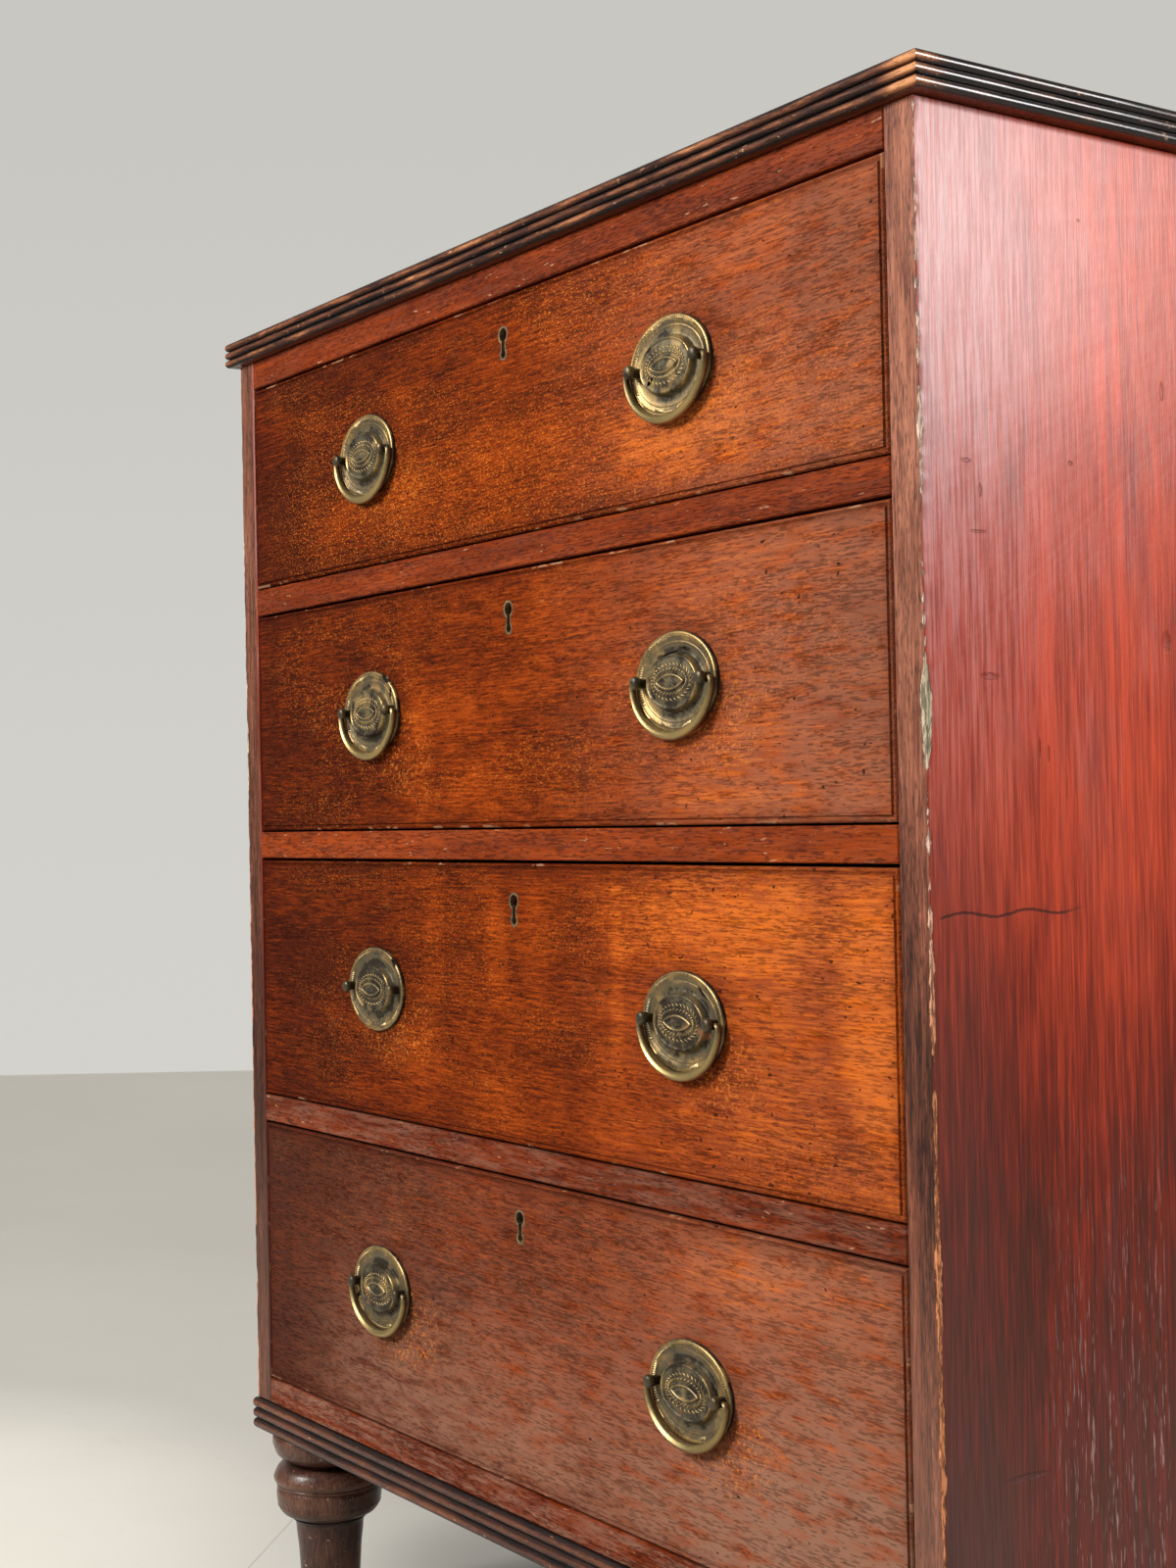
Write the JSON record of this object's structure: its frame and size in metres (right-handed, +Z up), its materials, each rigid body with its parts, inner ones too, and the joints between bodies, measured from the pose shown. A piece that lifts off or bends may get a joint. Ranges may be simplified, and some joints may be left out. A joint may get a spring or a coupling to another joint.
{
  "type": "campaign chest",
  "caption": "Mahogany campaign chest with graduated full-width drawers, stamped oval brass plates with swing bails, a reeded top and base, and turned feet.",
  "frame": {"origin": "on the floor below the middle of the chest's box", "axes": "+Z up, the drawers open along -Y, +X to the right of someone who stands before the drawers and faces them"},
  "size_m": [0.909, 0.4696, 1.1436],
  "materials": {
    "mahogany_front": "old shellac polish, worn",
    "mahogany_rail": "old shellac polish, worn",
    "mahogany_side": "old shellac polish, glossy",
    "mahogany_top": "old shellac polish",
    "mahogany_dark": "dark stained and polished",
    "lining_oak": "bare planed oak",
    "back_pine": "bare planed pine",
    "brass_plate": "stamped brass with a green-grey patina",
    "brass_bail": "cast brass, rubbed bright on the raised parts",
    "brass_thread": "polished brass",
    "iron_lock": "dull iron"
  },
  "bodies": {
    "carcase": {"side_left": "mahogany_side", "side_right": "mahogany_side", "top": "mahogany_top", "back": "back_pine", "top_rail": "mahogany_rail", "divider_1": "mahogany_rail", "divider_2": "mahogany_rail", "divider_3": "mahogany_rail", "bottom": "mahogany_rail", "base_front": "mahogany_dark", "base_left": "mahogany_dark", "base_right": "mahogany_dark", "base_back": "mahogany_dark", "foot_front_left": "mahogany_dark", "foot_front_right": "mahogany_dark", "foot_back_left": "mahogany_dark", "foot_back_right": "mahogany_dark"},
    "drawer_1": {"drawer_1_front": "mahogany_front", "drawer_1_side_left": "lining_oak", "drawer_1_side_right": "lining_oak", "drawer_1_back": "lining_oak", "drawer_1_bottom": "lining_oak", "drawer_1_escutcheon": "brass_thread", "drawer_1_lock": "iron_lock", "drawer_1_plate_left": "brass_plate", "drawer_1_plate_right": "brass_plate"},
    "drawer_1_bail_left": {"drawer_1_bail_left": "brass_bail"},
    "drawer_1_bail_right": {"drawer_1_bail_right": "brass_bail"},
    "drawer_2": {"drawer_2_front": "mahogany_front", "drawer_2_side_left": "lining_oak", "drawer_2_side_right": "lining_oak", "drawer_2_back": "lining_oak", "drawer_2_bottom": "lining_oak", "drawer_2_escutcheon": "brass_thread", "drawer_2_lock": "iron_lock", "drawer_2_plate_left": "brass_plate", "drawer_2_plate_right": "brass_plate"},
    "drawer_2_bail_left": {"drawer_2_bail_left": "brass_bail"},
    "drawer_2_bail_right": {"drawer_2_bail_right": "brass_bail"},
    "drawer_3": {"drawer_3_front": "mahogany_front", "drawer_3_side_left": "lining_oak", "drawer_3_side_right": "lining_oak", "drawer_3_back": "lining_oak", "drawer_3_bottom": "lining_oak", "drawer_3_escutcheon": "brass_thread", "drawer_3_lock": "iron_lock", "drawer_3_plate_left": "brass_plate", "drawer_3_plate_right": "brass_plate"},
    "drawer_3_bail_right": {"drawer_3_bail_right": "brass_bail"},
    "drawer_4": {"drawer_4_front": "mahogany_front", "drawer_4_side_left": "lining_oak", "drawer_4_side_right": "lining_oak", "drawer_4_back": "lining_oak", "drawer_4_bottom": "lining_oak", "drawer_4_escutcheon": "brass_thread", "drawer_4_lock": "iron_lock", "drawer_4_plate_left": "brass_plate", "drawer_4_plate_right": "brass_plate"},
    "drawer_4_bail_left": {"drawer_4_bail_left": "brass_bail"},
    "drawer_4_bail_right": {"drawer_4_bail_right": "brass_bail"}
  },
  "joints": [
    {"name": "drawer_1_slide", "type": "slide", "parent": "carcase", "child": "drawer_1", "axis": [0, -1, 0], "range_m": [0, 0.34]},
    {"name": "drawer_1_bail_left_swing", "type": "hinge", "parent": "drawer_1", "child": "drawer_1_bail_left", "pos_m": [-0.2069, -0.22835, 1.00765], "axis": [-1, 0, 0], "range_deg": [0, 180]},
    {"name": "drawer_1_bail_right_swing", "type": "hinge", "parent": "drawer_1", "child": "drawer_1_bail_right", "pos_m": [0.2069, -0.22835, 1.00765], "axis": [-1, 0, 0], "range_deg": [0, 180]},
    {"name": "drawer_2_slide", "type": "slide", "parent": "carcase", "child": "drawer_2", "axis": [0, -1, 0], "range_m": [0, 0.34]},
    {"name": "drawer_2_bail_left_swing", "type": "hinge", "parent": "drawer_2", "child": "drawer_2_bail_left", "pos_m": [-0.2069, -0.22835, 0.79855], "axis": [-1, 0, 0], "range_deg": [0, 180]},
    {"name": "drawer_2_bail_right_swing", "type": "hinge", "parent": "drawer_2", "child": "drawer_2_bail_right", "pos_m": [0.2069, -0.22835, 0.79855], "axis": [-1, 0, 0], "range_deg": [0, 180]},
    {"name": "drawer_3_slide", "type": "slide", "parent": "carcase", "child": "drawer_3", "axis": [0, -1, 0], "range_m": [0, 0.34]},
    {"name": "drawer_3_bail_right_swing", "type": "hinge", "parent": "drawer_3", "child": "drawer_3_bail_right", "pos_m": [0.2069, -0.22835, 0.5744], "axis": [-1, 0, 0], "range_deg": [0, 180]},
    {"name": "drawer_4_slide", "type": "slide", "parent": "carcase", "child": "drawer_4", "axis": [0, -1, 0], "range_m": [0, 0.34]},
    {"name": "drawer_4_bail_left_swing", "type": "hinge", "parent": "drawer_4", "child": "drawer_4_bail_left", "pos_m": [-0.2069, -0.22835, 0.33225], "axis": [-1, 0, 0], "range_deg": [0, 180]},
    {"name": "drawer_4_bail_right_swing", "type": "hinge", "parent": "drawer_4", "child": "drawer_4_bail_right", "pos_m": [0.2069, -0.22835, 0.33225], "axis": [-1, 0, 0], "range_deg": [0, 180]}
  ]
}
